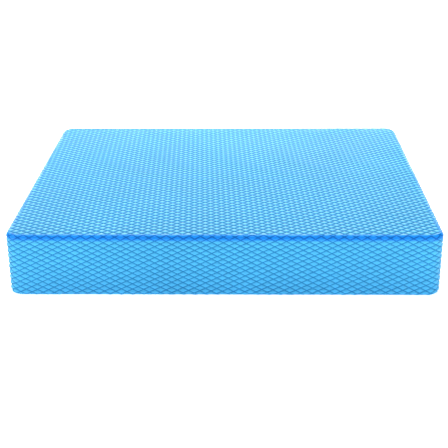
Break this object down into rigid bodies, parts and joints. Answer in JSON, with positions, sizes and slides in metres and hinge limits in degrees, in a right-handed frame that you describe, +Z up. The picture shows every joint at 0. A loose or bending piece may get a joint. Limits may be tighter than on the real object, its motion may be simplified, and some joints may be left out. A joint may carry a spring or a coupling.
{
  "type": "balance pad",
  "caption": "Thick rectangular foam pad with rounded edges and a diamond-embossed non-slip skin all over, stood or knelt on for balance training.",
  "frame": {"origin": "middle of the underside, on the surface that the pad lies on", "axes": "+X along the long side, +Y from the front side to the back side, +Z up through the thickness"},
  "size_m": [0.4, 0.33, 0.06],
  "materials": {
    "embossed_skin": "satin, embossed with small diamonds",
    "core_foam": "matte closed-cell foam"
  },
  "bodies": {
    "root": {"upper_skin": "embossed_skin", "base_skin": "embossed_skin", "core_sheet_1": "core_foam", "core_sheet_2": "core_foam", "core_sheet_3": "core_foam", "core_sheet_4": "core_foam", "core_sheet_5": "core_foam", "core_sheet_6": "core_foam"}
  },
  "joints": []
}
